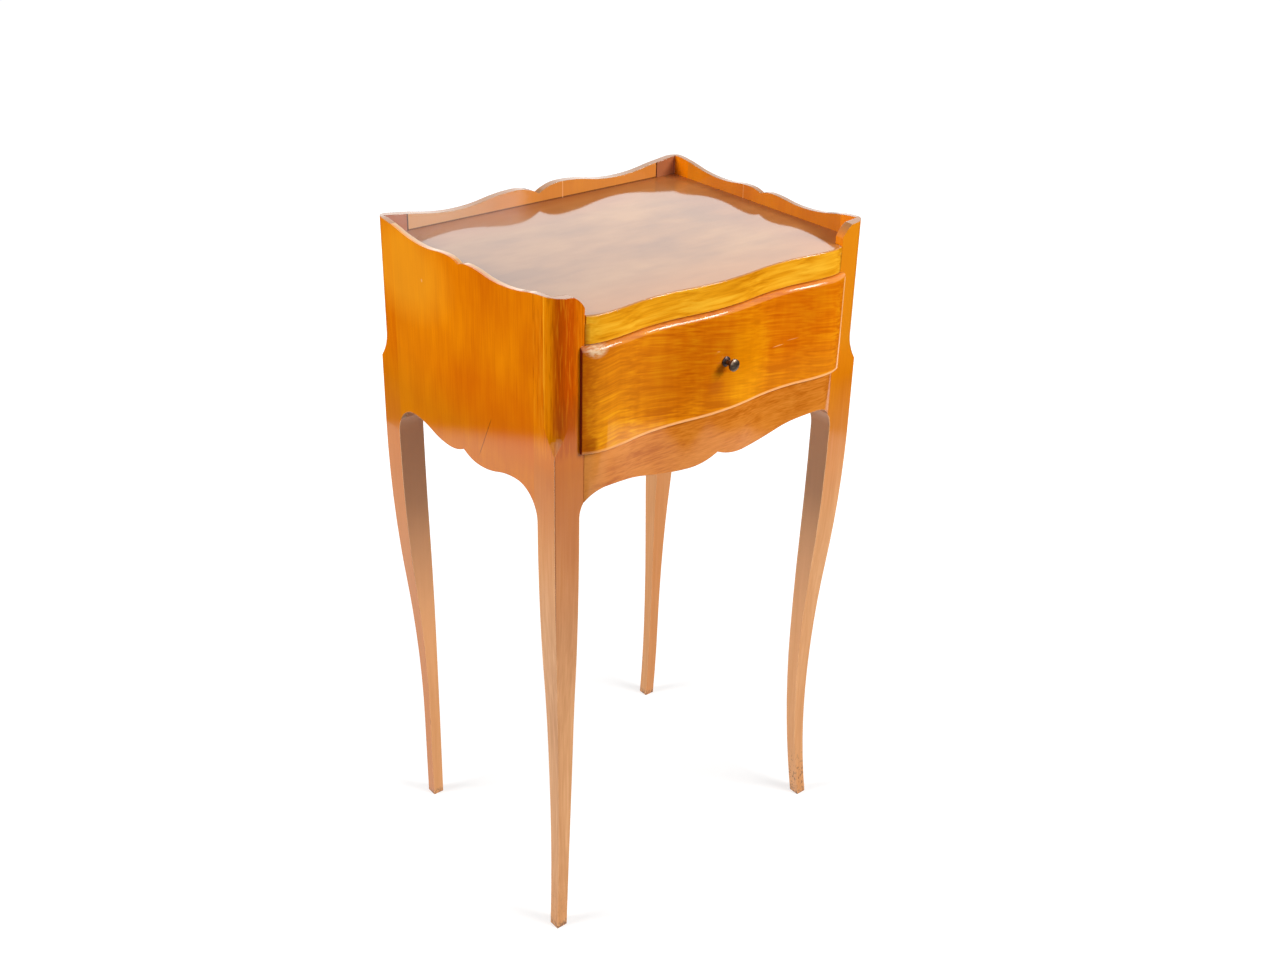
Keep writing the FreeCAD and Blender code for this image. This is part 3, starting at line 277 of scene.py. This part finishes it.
def leg_finish():
    """Posts and legs: amber above like the sides, a thinner tan varnish down the legs, scuffed feet."""
    material, add = new_material("varnished_cherry_legs")
    place, x, y, z = where(add)
    look_x, look_y, look_z = looks(add)
    aside = add("Math", {0: x}, operation="ABSOLUTE")
    upper = add("ValToRGB", {0: figure(add, place, **BOARD_FIGURE)}, stops=AMBER)
    low = add("MapRange", {0: z, **SKIRT, 4: 0.5})
    upper = add("Mix", {0: low, 6: upper, 7: colour(SKIRT_BROWN)}, **OVER)
    upper = mark(add, place, ground=upper, **SIDE_GOLD)
    grain = figure(add, place, "z", 5.3, [(60, 4, 0.38), (6, 30, 0.24), (2.4, 30, 0.26), (1.4, 30, 0.12)])
    lower = add("ValToRGB", {0: grain}, stops=[(0.38, "#C4854C"), (0.62, "#E2A872"), (0.5, "#D4965E")])
    warm = add("MapRange", {0: x, **RIGHT_HALF, 4: 0.4})
    warm = add("MapRange", {0: y, **BACK_LEGS, 3: warm, 4: 0.55})
    lower = add("Mix", {0: warm, 6: lower, 7: colour("#CC843E")}, **OVER)
    # Painted shade: the back left leg's outer face and the back right leg's front are painted a deeper
    # orange.
    behind = add("MapRange", {0: y, **BACK_LEGS})
    back_leg_shade = add("MapRange", {0: x, **LEFT_LEGS, 4: 0.6})
    back_leg_shade = add("MapRange", {0: look_x, **SQUARE_ON, 4: back_leg_shade})
    facing = add("MapRange", {0: x, **RIGHT_LEGS, 4: 0.3})
    back_leg_shade = add("MapRange", {0: look_y, **SQUARE_ON, 3: back_leg_shade, 4: facing})
    back_leg_shade = add("MapRange", {0: behind, 4: back_leg_shade})
    lower = add("Mix", {0: back_leg_shade, 6: lower, 7: colour("#C66A08")}, **OVER)
    thin = add("MapRange", {0: z, 1: APRON_LEVEL - 10 * MM, 2: APRON_LEVEL - 190 * MM})
    ground = add("Mix", {0: thin, 6: upper, 7: lower}, **OVER)
    # Painted light: the far front leg's inner face and the back left leg's front lie in shade and are painted
    # ruddier and paler.
    inner = add("MapRange", {0: look_x, **SQUARE_ON, 4: add("MapRange", {0: x, **RIGHT_LEGS})})
    facing = add("MapRange", {0: look_y, **SQUARE_ON, 4: add("MapRange", {0: x, **LEFT_LEGS})})
    inner = add("MapRange", {0: behind, 3: inner, 4: facing})
    inner = add("MapRange", {0: z, 1: APRON_LEVEL + 2 * MM, 2: APRON_LEVEL, 4: inner})
    ruddy = add("MapRange", {0: z, 1: 0.15, 2: 0.37, 3: 0.15, 4: 0.65})
    ruddy = add("MapRange", {0: inner, 4: ruddy})
    ground = add("Mix", {0: ruddy, 6: ground, 7: colour("#FFB981")}, **OVER)
    # Painted shade: past the start of its rounding the near post is painted a red brown, which fades on the
    # flat front.
    near = add("MapRange", {0: z, 1: APRON_LEVEL - 4 * MM, 2: APRON_LEVEL + 6 * MM, 4: 0.85})
    near = add("MapRange", {0: y, **FRONT_LEGS, 4: near})
    near = add("MapRange", {0: x, **LEFT_HALF, 4: near})
    shade = add("MapRange", {0: aside, 1: HALF_WIDTH - 27 * MM, 2: HALF_WIDTH - 21 * MM, 3: 0.5})
    flat = add("MapRange", {0: z, 1: APRON_LEVEL - 15 * MM, 2: APRON_LEVEL + 30 * MM})
    flat = add("MapRange", {0: flat, 4: shade})
    shade = add("MapRange", {0: look_y, 1: -0.99, 2: -0.96, 3: flat, 4: shade})
    shade = add("MapRange", {0: look_y, **FRONT_FACE, 4: add("MapRange", {0: near, 4: shade})})
    ground = add("Mix", {0: shade, 6: ground, 7: colour("#B84400")}, **OVER)
    # Painted highlight: the outer half of the rounding is painted golden, with a painted bright line along
    # the side face where it mirrors the bright floor; its upturned tip gets a painted brown shade.
    golden = add("MapRange", {0: look_y, 1: -0.66, 2: -0.46, 4: add("MapRange", {0: near, 4: 0.7})})
    golden = add("MapRange", {0: look_y, 1: -0.03, 2: -0.1, 4: golden})
    ground = add("Mix", {0: golden, 6: ground, 7: colour("#EA8A00")}, **OVER)
    line = add("MapRange", {0: z, 1: APRON_LEVEL + 20 * MM, 2: APRON_LEVEL + 75 * MM, 4: near})
    line = add("MapRange", {0: look_y, 1: -0.13, 2: -0.09, 4: line})
    line = add("MapRange", {0: look_y, 1: -0.005, 2: -0.03, 4: line})
    ground = add("Mix", {0: line, 6: ground, 7: colour("#FFAC20")}, **OVER)
    tip_shade = add("MapRange", {0: look_z, 1: 0.04, 2: 0.2, 4: add("MapRange", {0: y, **FRONT_LEGS, 4: 0.8})})
    tip_shade = add("MapRange", {0: z, 1: TRAY_LEVEL - 50 * MM, 2: TRAY_LEVEL - 60 * MM, 4: tip_shade})
    ground = add("Mix", {0: tip_shade, 6: ground, 7: colour("#C07000")}, **OVER)
    # Upright streaks, dark and bright, run down the near post.
    streaks = figure(add, place, "z", 7.7, [(1.8, 14, 0.7), (5, 20, 0.3)])
    dark = add("MapRange", {0: streaks, 1: 0.52, 2: 0.64, 4: add("MapRange", {0: near, 4: 0.42})})
    ground = add("Mix", {0: dark, 6: ground, 7: colour("#8E3600")}, **OVER)
    bright = add("MapRange", {0: streaks, 1: 0.47, 2: 0.36, 4: add("MapRange", {0: near, 4: 0.5})})
    ground = add("Mix", {0: bright, 6: ground, 7: colour("#E89018")}, **OVER)
    # The far post's front is yellower; the near leg's front gets a browner painted shade around its knee.
    front = add("MapRange", {0: look_y, **FRONT_FACE})
    far = add("MapRange", {0: z, 1: APRON_LEVEL - 20 * MM, 2: APRON_LEVEL + 30 * MM, 4: 0.85})
    far = add("MapRange", {0: front, 4: add("MapRange", {0: x, **RIGHT_HALF, 4: far})})
    ground = add("Mix", {0: far, 6: ground, 7: colour("#D88414")}, **OVER)
    knee_shade = add("MapRange", {0: z, 1: 0.28, 2: 0.48, 4: add("MapRange", {0: front, 4: 0.45})})
    knee_shade = add("MapRange", {0: z, 1: APRON_LEVEL + 65 * MM, 2: APRON_LEVEL + 40 * MM, 4: knee_shade})
    knee_shade = add("MapRange", {0: x, **LEFT_HALF, 4: knee_shade})
    ground = add("Mix", {0: knee_shade, 6: ground, 7: colour("#9E5016")}, **OVER)
    # Inside the gallery the back posts are a purplish brown, with a dark joint to the back board.
    inner = add("MapRange", {0: y, **BY_BACK_BOARD})
    inner = add("MapRange", {0: z, 1: TRAY_LEVEL - 2 * MM, 2: TRAY_LEVEL - 1 * MM, 4: inner})
    inner = add("MapRange", {0: look_y, 1: -0.5, 2: -0.8, 4: inner})
    purple = add("MapRange", {0: inner, 4: 0.8})
    ground = add("Mix", {0: purple, 6: ground, 7: colour("#8A5444")}, **OVER)
    seam = add("Math", {0: aside, 1: POST_INSIDE, 2: JOINT_HALF}, operation="COMPARE")
    seam = add("MapRange", {0: seam, 4: inner})
    ground = add("Mix", {0: seam, 6: ground, 7: colour("#4A2414")}, **OVER)
    # A small knot shows on the near leg's front.
    ground = mark(add, place, (-177.5, FRONT / MM, 232.8), (5, 9, 3.4), 0.6, ground, "#7E5236")
    # The feet are chipped at the floor, and the front ones speckled, the far one most.
    grit = figure(add, place, "z", 4.4, [(2.6, 1.4, 1.0)])
    chips = add("MapRange", {0: z, 1: 9 * MM, 2: 2 * MM, 4: 0.7})
    chips = add("MapRange", {0: grit, 1: 0.45, 2: 0.6, 4: chips})
    ground = add("Mix", {0: chips, 6: ground, 7: colour(CHIPPED)}, **OVER)
    specks = add("MapRange", {0: x, 1: 0.1, 2: 0.15, 3: 0.12, 4: 0.6})
    specks = add("MapRange", {0: z, 1: 75 * MM, 2: 30 * MM, 4: specks})
    specks = add("MapRange", {0: y, **FRONT_HALF, 4: specks})
    specks = add("MapRange", {0: grit, 1: 0.57, 2: 0.63, 4: specks})
    ground = add("Mix", {0: specks, 6: ground, 7: colour(CHIPPED)}, **OVER)
    # Arrises are pale up to the apron, most of all at the knee; above it only those at the back are worn.
    # The near leg's outer one is a dark line instead, from the knee up to the rounding.
    dark_arris = add("MapRange", {0: z, 1: 0.36, 2: 0.46, 4: add("MapRange", {0: front, 4: 0.85})})
    dark_arris = add("MapRange", {0: z, 1: APRON_LEVEL + 8 * MM, 2: APRON_LEVEL + 2 * MM, 4: dark_arris})
    dark_arris = add("MapRange", {0: aside, 1: HALF_WIDTH - 12 * MM, 2: HALF_WIDTH - 10 * MM, 4: dark_arris})
    dark_arris = add("MapRange", {0: y, **FRONT_LEGS, 4: dark_arris})
    dark_arris = add("MapRange", {0: x, **LEFT_HALF, 4: dark_arris})
    soft, edge = arrises(add, 1.0 * MM, post_joints(add, x, y, z))
    below = add("MapRange", {0: z, 1: TRAY_LEVEL - 49 * MM, 2: TRAY_LEVEL - 50 * MM})
    normal = add("Mix", {0: below, 4: soft, 5: add("NewGeometry", out="Normal")}, **BETWEEN)
    rim = add("MapRange", {0: z, 1: 0.3, 2: 0.48, 3: 0.12, 4: 0.8})
    worn = add("MapRange", {0: y, 1: BACK - 6 * MM, 2: BACK - 4 * MM, 3: 0.06, 4: 0.5})
    rim = add("MapRange", {0: z, 1: APRON_LEVEL + 2 * MM, 2: APRON_LEVEL + 8 * MM, 3: rim, 4: worn})
    rim = add("MapRange", {0: dark_arris, 2: 0.3, 3: rim, 4: 0.0})
    rim = add("MapRange", {0: edge, 4: rim})
    line = arrises(add, 3.4 * MM, 0.0)[1]
    line = add("MapRange", {0: line, 2: 0.2, 4: dark_arris})
    ground = add("Mix", {0: line, 6: ground, 7: colour(DARK_LINE)}, **OVER)
    ground = add("Mix", {0: rim, 6: ground, 7: colour("#FFDCA8")}, **OVER)
    # Painted shade: the posts' tops are darkened.
    top = add("MapRange", {0: look_z, **UPWARDS, 4: 0.7})
    ground = add("Mix", {0: top, 6: ground, 7: colour(TOP_SHADE_BROWN)}, **OVER)
    varnish(add, ground, normal, HIGH_GLOSS)
    return material


def rail_finish():
    """Rail and apron: golden cherry with straight streaks above the drawer, a duller amber below it."""
    material, add = new_material("varnished_cherry_rails")
    place, x, y, z = where(add)
    rail = add("ValToRGB", {0: figure(add, place, **RAIL_FIGURE)}, stops=GOLD)
    grain = figure(add, place, "x", 6.6, [(40, 3, 0.36), (7, 12, 0.24), (1.6, 10, 0.4)])
    apron = add("ValToRGB", {0: grain}, stops=[(0.38, "#B65E0A"), (0.62, "#D8842E"), (0.5, "#CC7620")])
    pale = add("MapRange", {0: x, 1: -0.14, 2: -0.16, 4: 0.5})
    apron = add("Mix", {0: pale, 6: apron, 7: colour("#D89250")}, **OVER)
    upper = add("MapRange", {0: z, 1: APRON_LEVEL, 2: APRON_LEVEL + 40 * MM})
    ground = add("Mix", {0: upper, 6: apron, 7: rail}, **OVER)
    # The rail's joints with the posts are dark and reddish.
    aside = add("Math", {0: x}, operation="ABSOLUTE")
    joint = add("MapRange", {0: upper, 4: 0.7})
    joint = add("MapRange", {0: aside, 1: POST_INSIDE - 5 * MM, 2: POST_INSIDE, 4: joint})
    ground = add("Mix", {0: joint, 6: ground, 7: colour("#8E3E08")}, **OVER)
    # Arrises are worn pale, but for the flush joints with the tray and the posts.
    flush = add("Math", {0: z, 1: TRAY_UNDER, 2: JOINT_HALF}, operation="COMPARE")
    flush = add("Math", {0: flush, 1: post_joints(add, x, y, z)}, operation="MAXIMUM")
    normal, edge = arrises(add, 0.8 * MM, flush)
    worn = add("MapRange", {0: edge, 4: 0.4})
    ground = add("Mix", {0: worn, 6: ground, 7: colour("#F0C48C")}, **OVER)
    varnish(add, ground, normal, HIGH_GLOSS)
    return material


def tray_finish():
    """Tray board: brown cherry under a cloudy gloss, with the rail's gold on its front edge."""
    material, add = new_material("varnished_cherry_tray")
    place, x, y, z = where(add)
    look_z = looks(add)[2]
    grain = figure(add, place, "x", 5.9, [(60, 1.6, 0.6), (24, 2.2, 0.32), (8, 8, 0.08)])
    top = add("ValToRGB", {0: grain}, stops=[(0.36, "#9C683C"), (0.64, "#C08850"), (0.5, "#B07844")])
    # It is greyer to the left, warmer along the front and ruddy beside the right side and the back.
    grey = add("MapRange", {0: x, 1: 0.06, 2: -0.19, 4: 0.4})
    top = add("Mix", {0: grey, 6: top, 7: colour("#8C6850")}, **OVER)
    warm = add("MapRange", {0: y, 1: FRONT + 60 * MM, 2: FRONT, 4: 0.6})
    top = add("Mix", {0: warm, 6: top, 7: colour("#CC843C")}, **OVER)
    ruddy = add("MapRange", {0: x, 1: 0.11, 2: 0.19, 4: 0.5})
    ruddy = add("MapRange", {0: y, 1: BACK - 80 * MM, 2: BACK - 20 * MM, 3: ruddy, 4: 0.6})
    top = add("Mix", {0: ruddy, 6: top, 7: colour("#B4622A")}, **OVER)
    front_edge = add("ValToRGB", {0: figure(add, place, **RAIL_FIGURE)}, stops=GOLD)
    upwards = add("MapRange", {0: look_z, 1: 0.3, 2: 0.8})
    ground = add("Mix", {0: upwards, 6: front_edge, 7: top}, **OVER)
    # Only the upper arris is softened: lower down the front edge is flush with the rail.
    flush = add("MapRange", {0: z, 1: TRAY_LEVEL - 3 * MM, 2: TRAY_LEVEL - 4 * MM})
    normal = arrises(add, 1.2 * MM, flush)[0]
    varnish(add, ground, normal, CLOUDY_GLOSS)
    return material


def drawer_finish():
    """Drawer front: golden cherry, fine lines along it, a shimmer across it, worn arrises."""
    material, add = new_material("varnished_cherry_drawer")
    place, x, y, z = where(add)
    look_x = looks(add)[0]
    # The lines fall by 17 mm in 100 to the right, sway a little and droop by 14 mm at the left end.
    sway = figure(add, place, "x", 0.6, [(30, 2, 4 * MM)])
    droop = add("MapRange", {0: x, 1: -0.132, 2: -0.174, 3: sway, 4: add("Math", {0: sway, 1: 14 * MM})})
    height = add("Math", {0: add("Math", {0: x, 1: 0.17, 2: z}, operation="MULTIPLY_ADD"), 1: droop})
    bent = add("CombineXYZ", {0: x, 1: y, 2: height})
    lines = figure(add, bent, "x", 1.9, [(2.2, 40, 0.39), (7, 20, 0.14)])
    bands = figure(add, place, "z", 3.3, [(11, 5, 0.15)])
    clouds = figure(add, place, "x", 8.1, [(42, 1.6, 0.32)])
    grain = add("Math", {0: add("Math", {0: lines, 1: bands}), 1: clouds})
    ground = add("ValToRGB", {0: grain}, stops=[(0.4, "#BA5A00"), (0.6, "#F2A20E"), (0.5, "#DC7C04")])
    # A redder middle, with a painted shadow of the knob as a darker spot under it.
    ground = mark(add, place, (-30, DRAWER_Y, 640), (110, THROUGH, 55), 0.6, ground, "#B65400")
    ground = mark(add, place, (-11, DRAWER_Y, 614), (12, THROUGH, 10), 0.4, ground, "#A84A10")
    # An orange right half, with a golden band and a red patch.
    warm = add("MapRange", {0: x, 1: 0.02, 2: 0.1, 4: 0.4})
    ground = add("Mix", {0: warm, 6: ground, 7: colour("#D86800")}, **OVER)
    ground = mark(add, place, (32, DRAWER_Y, 628), (34, THROUGH, 90), 0.35, ground, "#F4A000")
    ground = mark(add, place, (105, DRAWER_Y, 645), (48, THROUGH, 60), 0.35, ground, "#C45400")
    # Golden towards the left, darker towards the top, golden again low on the right.
    golden = add("MapRange", {0: x, 1: -0.05, 2: -0.12, 4: 0.25})
    ground = add("Mix", {0: golden, 6: ground, 7: colour("#EEA428")}, **OVER)
    dark = add("MapRange", {0: z, 1: 630 * MM, 2: 680 * MM, 4: 0.3})
    ground = add("Mix", {0: dark, 6: ground, 7: colour("#C05800")}, **OVER)
    golden = add("MapRange", {0: x, 1: -0.09, 2: 0.04, 4: 0.2})
    golden = add("MapRange", {0: z, 1: 632 * MM, 2: 600 * MM, 4: golden})
    ground = add("Mix", {0: golden, 6: ground, 7: colour(PALE_GOLD)}, **OVER)
    # A dark left end with a knot.
    dark = add("MapRange", {0: x, 1: -0.154, 2: -0.171, 4: 0.6})
    ground = add("Mix", {0: dark, 6: ground, 7: colour("#A03C00")}, **OVER)
    ground = mark(add, place, (-163, DRAWER_Y, 593), (8, THROUGH, 12), 0.5, ground, "#8A3400")
    # Rubbed pale: the top left corner, two scratches and the lower and right arrises.
    grit = figure(add, place, "x", 2.2, [(1.6, 4, 0.6), (4, 1.5, 0.4)])
    rubbed = add("MapRange", {0: grit, 1: 0.36, 2: 0.6, 4: 0.8})
    ground = mark(add, place, (-157, DRAWER_Y, 690), (13, THROUGH, 10), rubbed, ground, "#F0D4AC")
    ground = mark(add, place, (77, DRAWER_Y, 634.6), (9, THROUGH, 0.7), 0.45, ground, SCRATCHED)
    ground = mark(add, place, (97, DRAWER_Y, 637.2), (9, THROUGH, 0.6), 0.3, ground, SCRATCHED)
    normal, edge = arrises(add, 1.0 * MM, 0.0)
    right_end = {1: drawer_high.x - 4.5 * MM, 2: drawer_high.x - 3.5 * MM}
    low_edge = {1: drawer_low.z + 4 * MM, 2: drawer_low.z + 3 * MM}
    high_edge = {1: drawer_high.z - 5 * MM, 2: drawer_high.z - 4 * MM}
    rim = add("MapRange", {0: x, **right_end, 3: edge, 4: 1.0})
    rim = add("MapRange", {0: z, **low_edge, 3: rim, 4: 1.0})
    rim = add("MapRange", {0: z, **high_edge, 3: rim, 4: 0.12})
    worn = add("MapRange", {0: x, 1: -0.165, 2: -0.1, 3: 0.25, 4: 0.85})
    worn = add("MapRange", {0: rim, 4: worn})
    ground = add("Mix", {0: worn, 6: ground, 7: colour("#FFB870")}, **OVER)
    # Dark end grain on the left end.
    end_grain = add("MapRange", {0: look_x, 1: -0.6, 2: -0.9})
    ground = add("Mix", {0: end_grain, 6: ground, 7: colour("#802818")}, **OVER)
    varnish(add, ground, normal, HIGH_GLOSS)
    return material


def bare_finish():
    """Inner pieces: dull unvarnished wood, grain from front to back, greyed by age."""
    material, add = new_material("bare_aged_wood")
    place = add("TexCoord", out="Object")
    grain = figure(add, place, "y", 9.2, [(40, 3, 0.4), (6, 16, 0.4), (1.4, 30, 0.2)])
    ground = add("ValToRGB", {0: grain}, stops=[(0.36, "#93714C"), (0.64, "#C2A27A"), (0.5, "#AC8A62")])
    shader = add("BsdfPrincipled", {
        "Base Color": ground, "Roughness": 0.8, "IOR": WOOD_IOR, "Specular IOR Level": 0.25})
    add("OutputMaterial", {0: shader})
    return material


def metal_finish(name, dark, light, rough):
    """Metal dulled in patches 3 mm across: brown brass on the knob, grey steel on the screws."""
    material, add = new_material(name)
    place = add("TexCoord", out="Object")
    tarnish = figure(add, place, "z", 1.1, [(3, 1, 1.0)])
    ground = add("ValToRGB", {0: tarnish}, stops=[(0.35, dark), (0.65, light)])
    shader = add("BsdfPrincipled", {"Base Color": ground, "Metallic": 1.0, "Roughness": rough})
    add("OutputMaterial", {0: shader})
    return material


boards, legs, rails = board_finish(), leg_finish(), rail_finish()
tray, drawer, bare_wood = tray_finish(), drawer_finish(), bare_finish()
brass = metal_finish("tarnished_brass", "#463A32", "#7C6C5C", 0.34)
dark_brass = metal_finish("blackened_brass", "#2A2022", "#4C3E3A", 0.42)
steel = metal_finish("dull_steel", "#7C7A76", "#A09E9A", 0.45)

# The first start that fits a node's name gives its finish; the other nodes stay bare wood.
FINISHES = {
    "leg_": legs, "side_panel": boards, "back_panel": boards, "tray_top": tray, "front_": rails,
    "drawer_front": drawer, "knob_nut": steel, "knob_rose": dark_brass, "knob": brass, "tray_screws": steel,
    "guide_screws": steel, "drawer_bottom_nails": steel,
}
for name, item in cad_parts.items():
    finish = next((value for start, value in FINISHES.items() if name.startswith(start)), bare_wood)
    item.data.materials.clear()
    item.data.materials.append(finish)

# Camera: yaw, pitch and roll in degrees, its place in metres with y from the carcass's middle.
YAW, PITCH, ROLL = (math.radians(angle) for angle in (40.162, 27.656, 1.488))
CAMERA_PLACE = (-0.930955, MIDDLE_Y - 1.141648, 1.212201)
SENSOR_MM = 36
LENS_MM = 42.084
forward = Vector((math.sin(YAW) * math.cos(PITCH), math.cos(YAW) * math.cos(PITCH), -math.sin(PITCH)))
level = Vector((math.cos(YAW), -math.sin(YAW), 0))
ahead = Vector((math.sin(YAW), math.cos(YAW), 0))
upright = level.cross(forward)
right = level * math.cos(ROLL) + upright * math.sin(ROLL)
camera_data = bpy.data.cameras.new("camera")
camera_data.sensor_width = SENSOR_MM
camera_data.lens = LENS_MM
camera = bpy.data.objects.new("camera", camera_data)
turned = Matrix((right, right.cross(forward), -forward)).transposed().to_4x4()
camera.matrix_world = Matrix.Translation(CAMERA_PLACE) @ turned
scene.collection.objects.link(camera)
scene.camera = camera

# White paper under the table, laid along the view with its front corners cut off, on a dark studio floor.
# Sizes in metres: half its width, how far it comes to the front, where its corners are cut, its soft edges.
PAPER_HALF = 1.25
PAPER_FRONT = 1.0
PAPER_CORNER = 1.65
EDGE_FADE = 0.03
CORNER_FADE = 0.04
FLOOR_REACH = 30.0
DARK_FLOOR, PAPER_SEEN, PAPER_LIT = ((grey, grey, grey, 1) for grey in (0.015, 0.5, 0.58))
floor_mesh = bpy.data.meshes.new("paper_floor")
corners = [(-FLOOR_REACH, -FLOOR_REACH, 0), (FLOOR_REACH, -FLOOR_REACH, 0),
           (FLOOR_REACH, FLOOR_REACH, 0), (-FLOOR_REACH, FLOOR_REACH, 0)]
floor_mesh.from_pydata(corners, [], [(0, 1, 2, 3)])
floor = bpy.data.objects.new("paper_floor", floor_mesh)
scene.collection.objects.link(floor)
paper, add = new_material("white_paper_floor")
place = add("TexCoord", out="Object")
across = add("VectorMath", {0: place, 1: level}, "Value", operation="DOT_PRODUCT")
behind = add("VectorMath", {0: place, 1: ahead}, "Value", operation="DOT_PRODUCT")
across = add("Math", {0: across}, operation="ABSOLUTE")
on_paper = add("MapRange", {0: across, 1: PAPER_HALF + EDGE_FADE, 2: PAPER_HALF - EDGE_FADE})
on_paper = add("MapRange", {
    0: behind, 1: -PAPER_FRONT - EDGE_FADE, 2: -PAPER_FRONT + EDGE_FADE, 4: on_paper})
corner = add("Math", {0: across, 1: behind}, operation="SUBTRACT")
on_paper = add("MapRange", {
    0: corner, 1: PAPER_CORNER + CORNER_FADE, 2: PAPER_CORNER - CORNER_FADE, 4: on_paper})
# The camera sees paper everywhere, with soft shadows under the table and plain white further away.
away = add("VectorMath", {0: place}, "Value", operation="LENGTH")
glow = add("Emission", {"Strength": add("MapRange", {0: away, 1: 0.2, 2: 1.6, 3: 0.55, 4: 1.0})})
seen = add("AddShader", {0: add("BsdfDiffuse", {"Color": PAPER_SEEN}), 1: glow})
# The varnish mirrors the paper as white, and the floor past its edges as dark.
lit = add("Mix", {0: on_paper, 6: DARK_FLOOR, 7: PAPER_LIT}, **OVER)
shown = add("MapRange", {0: on_paper, 4: background_ray(add)})
mirrored = add("MixShader", {0: shown, 1: add("BsdfDiffuse", {"Color": lit}), 2: add("Emission")})
camera_ray = add("LightPath", out="Is Camera Ray")
add("OutputMaterial", {0: add("MixShader", {0: camera_ray, 1: mirrored, 2: seen})})
floor_mesh.materials.append(paper)

# Studio light: a dim room, white where the camera sees past the floor.
ROOM_LIGHT = 0.04
world = bpy.data.worlds.new("studio")
scene.world = world
world.use_nodes = True
world.node_tree.nodes.clear()
add = functools.partial(add_node, world.node_tree)
strength = add("MapRange", {0: background_ray(add), 3: ROOM_LIGHT, 4: 1.0})
room = add("Background", {"Color": (1, 1, 1, 1), "Strength": strength})
add("OutputWorld", {0: room})


def softbox(name, position, target, width, height, power):
    """A soft lamp turned towards a point, in metres and watts; the camera does not see it."""
    lamp = bpy.data.lights.new(name, "AREA")
    lamp.shape = "RECTANGLE"
    lamp.size = width
    lamp.size_y = height
    lamp.energy = power
    holder = bpy.data.objects.new(name, lamp)
    holder.location = position
    holder.rotation_euler = (Vector(target) - Vector(position)).to_track_quat("-Z", "Y").to_euler()
    holder.visible_camera = False
    scene.collection.objects.link(holder)


softbox("left_softbox", (-2.2, 0.9, 1.7), (0, 0, 0.55), 1.2, 1.2, 65)
softbox("right_softbox", (1.05, -2.2, 1.9), (0, 0, 0.6), 1.05, 1.0, 56)
softbox("high_softbox", (1.75, -1.95, 2.35), (0, 0, 0.6), 0.6, 0.6, 26)
softbox("front_fill", (-0.95, -2.55, 1.3), (0, 0, 0.45), 3.0, 2.2, 22)
softbox("lit_backdrop", (1.55, 1.9, 1.75), (0, 0, 0.75), 2.5, 1.9, 17)
